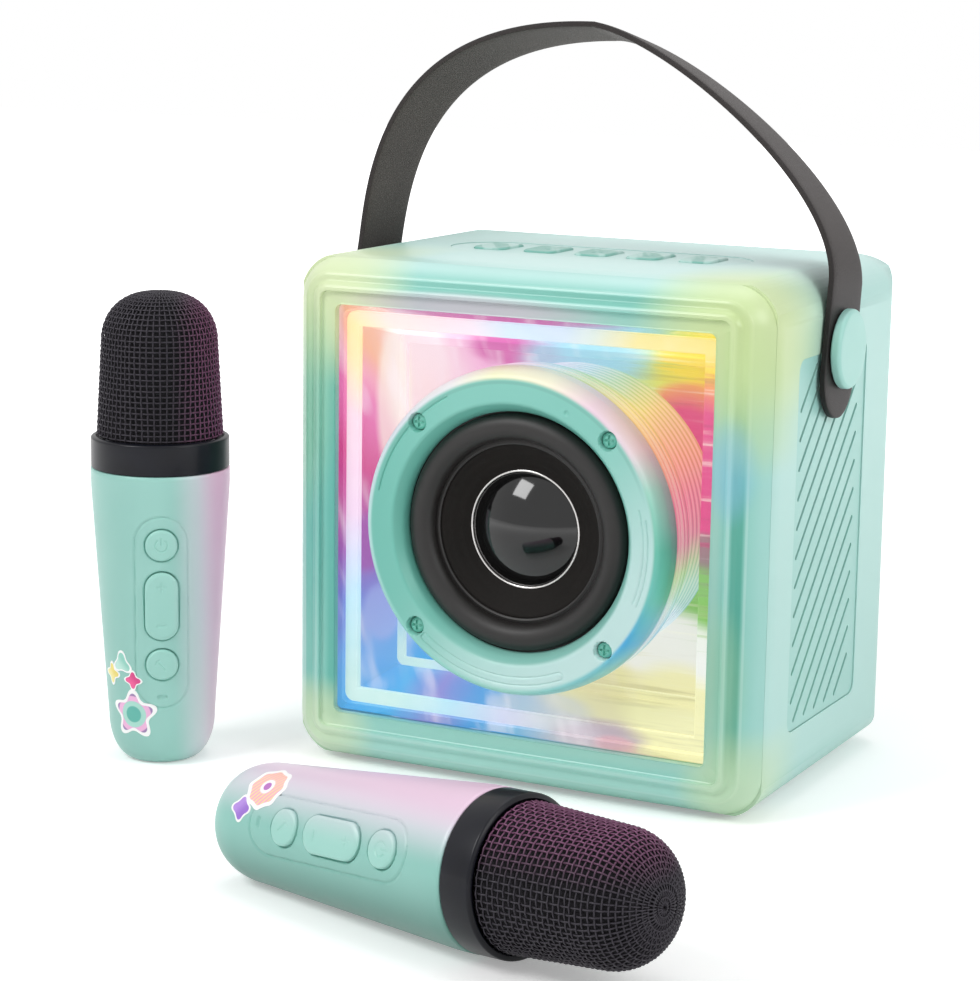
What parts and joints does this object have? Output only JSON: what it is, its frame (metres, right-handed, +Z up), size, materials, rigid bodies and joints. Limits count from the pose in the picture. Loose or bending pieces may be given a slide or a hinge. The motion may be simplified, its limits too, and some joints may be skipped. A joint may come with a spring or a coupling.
{
  "type": "karaoke speaker set",
  "caption": "Cube karaoke speaker with a lit window, a round driver and a swinging carry strap, with a standing and a lying cordless microphone.",
  "frame": {"origin": "middle of the foot pad's bottom face, on the table", "axes": "+X to the object's right seen from the front, -Y out of the front window, +Z up"},
  "size_m": [0.2484, 0.2689, 0.231],
  "materials": {
    "mint_shell": "satin moulded mint plastic with a light sheen",
    "clear_panel": "clear acrylic",
    "light_bar": "milky light guide",
    "mirror_film": "mirror film",
    "led_tape": "white light strip with chips",
    "pale_mint": "smooth pale mint plastic",
    "driver_metal": "black painted steel",
    "roll_rubber": "black rubber roll",
    "cone_paper": "dark coated cone",
    "dust_cap_gloss": "polished black dome",
    "copper": "copper winding",
    "spider_cloth": "varnished cloth",
    "ferrite": "ferrite magnet",
    "steel": "zinc plated steel",
    "board": "green circuit board",
    "battery_wrap": "blue shrink wrap",
    "socket_black": "black socket moulding",
    "pad_silicone": "mint silicone foot pad",
    "leather": "dark brown grained strap",
    "mic_mint": "mint plastic fading to pink on the far side",
    "mic_collar": "dark blue glossy collar",
    "mic_mesh": "black woven wire grille"
  },
  "bodies": {
    "cabinet": {"main_shell": "mint_shell", "front_bezel": "mint_shell", "window_panel": "clear_panel", "light_frame": "light_bar", "chamber_walls": "mirror_film", "mirror_plate": "mirror_film", "led_strips": "led_tape", "speaker_can": "pale_mint", "speaker_ring": "mint_shell", "ring_screws": "mint_shell", "basket": "driver_metal", "surround": "roll_rubber", "spider": "spider_cloth", "magnet": "ferrite", "pole_plates": "steel", "grille_right": "mint_shell", "grille_left": "mint_shell", "rear_cover": "mint_shell", "rear_screws": "steel", "control_strip": "mint_shell", "key_board": "board", "main_board": "board", "battery_pack": "battery_wrap", "socket_block": "socket_black", "base_pad": "pad_silicone", "strap_studs": "pale_mint", "stud_screws": "steel"},
    "driver_cone": {"cone": "cone_paper", "dust_cap": "dust_cap_gloss", "voice_coil": "copper"},
    "strap": {"strap": "leather"},
    "top_key_1": {"top_key_1": "pale_mint"},
    "top_key_2": {"top_key_2": "pale_mint"},
    "top_key_3": {"top_key_3": "pale_mint"},
    "top_key_4": {"top_key_4": "pale_mint"},
    "top_key_5": {"top_key_5": "pale_mint"},
    "mic_a": {"mic_a_shell": "mic_mint", "mic_a_tail_cap": "pale_mint", "mic_a_collar": "mic_collar", "mic_a_grille": "mic_mesh", "mic_a_capsule": "steel", "mic_a_board": "board", "mic_a_battery": "battery_wrap", "mic_a_panel": "pale_mint"},
    "mic_a_power_key": {"mic_a_power_key": "pale_mint"},
    "mic_a_effect_key": {"mic_a_effect_key": "pale_mint"},
    "mic_a_rocker": {"mic_a_rocker": "pale_mint"},
    "mic_b": {"mic_b_shell": "mic_mint", "mic_b_tail_cap": "pale_mint", "mic_b_collar": "mic_collar", "mic_b_grille": "mic_mesh", "mic_b_capsule": "steel", "mic_b_board": "board", "mic_b_battery": "battery_wrap", "mic_b_panel": "pale_mint"},
    "mic_b_power_key": {"mic_b_power_key": "pale_mint"},
    "mic_b_effect_key": {"mic_b_effect_key": "pale_mint"},
    "mic_b_rocker": {"mic_b_rocker": "pale_mint"}
  },
  "joints": [
    {"name": "strap_swing", "type": "hinge", "parent": "cabinet", "child": "strap", "pos_m": [0, -0.004, 0.1366], "axis": [1, 0, 0], "range_deg": [-20, 20]},
    {"name": "cone_travel", "type": "slide", "parent": "cabinet", "child": "driver_cone", "axis": [0, 1, 0], "range_m": [-0.0015, 0.0015], "stiffness_N_per_m": 1500, "deforming": ["surround", "spider"]},
    {"name": "top_key_1_press", "type": "slide", "parent": "cabinet", "child": "top_key_1", "axis": [0, 0, -1], "range_m": [0, 0.0006], "stiffness_N_per_m": 600, "springref_m": -0.0002},
    {"name": "top_key_2_press", "type": "slide", "parent": "cabinet", "child": "top_key_2", "axis": [0, 0, -1], "range_m": [0, 0.0006], "stiffness_N_per_m": 600, "springref_m": -0.0002},
    {"name": "top_key_3_press", "type": "slide", "parent": "cabinet", "child": "top_key_3", "axis": [0, 0, -1], "range_m": [0, 0.0006], "stiffness_N_per_m": 600, "springref_m": -0.0002},
    {"name": "top_key_4_press", "type": "slide", "parent": "cabinet", "child": "top_key_4", "axis": [0, 0, -1], "range_m": [0, 0.0006], "stiffness_N_per_m": 600, "springref_m": -0.0002},
    {"name": "top_key_5_press", "type": "slide", "parent": "cabinet", "child": "top_key_5", "axis": [0, 0, -1], "range_m": [0, 0.0006], "stiffness_N_per_m": 600, "springref_m": -0.0002},
    {"name": "mic_a_lift", "type": "slide", "parent": "cabinet", "child": "mic_a", "axis": [0, 0, 1], "range_m": [0, 0.25]},
    {"name": "mic_a_power_press", "type": "slide", "parent": "mic_a", "child": "mic_a_power_key", "axis": [-0.5592, 0.829, 0], "range_m": [0, 0.0005], "stiffness_N_per_m": 600, "springref_m": -0.0002},
    {"name": "mic_a_effect_press", "type": "slide", "parent": "mic_a", "child": "mic_a_effect_key", "axis": [-0.5592, 0.829, 0], "range_m": [0, 0.0005], "stiffness_N_per_m": 600, "springref_m": -0.0002},
    {"name": "mic_a_volume_tilt", "type": "hinge", "parent": "mic_a", "child": "mic_a_rocker", "pos_m": [-0.10699, -0.08642, 0.0524], "axis": [0.829, 0.5592, 0], "range_deg": [-2.5, 2.5], "stiffness_Nm_per_rad": 0.5},
    {"name": "mic_b_lift", "type": "slide", "parent": "cabinet", "child": "mic_b", "axis": [0, 0, 1], "range_m": [0, 0.25]},
    {"name": "mic_b_power_press", "type": "slide", "parent": "mic_b", "child": "mic_b_power_key", "axis": [0.2623, 0.9087, -0.3249], "range_m": [0, 0.0005], "stiffness_N_per_m": 600, "springref_m": -0.0002},
    {"name": "mic_b_effect_press", "type": "slide", "parent": "mic_b", "child": "mic_b_effect_key", "axis": [0.2623, 0.9087, -0.3249], "range_m": [0, 0.0005], "stiffness_N_per_m": 600, "springref_m": -0.0002},
    {"name": "mic_b_volume_tilt", "type": "hinge", "parent": "mic_b", "child": "mic_b_rocker", "pos_m": [0.01416, -0.18551, 0.02416], "axis": [-0.0228, -0.3307, -0.9435], "range_deg": [-2.5, 2.5], "stiffness_Nm_per_rad": 0.5}
  ]
}
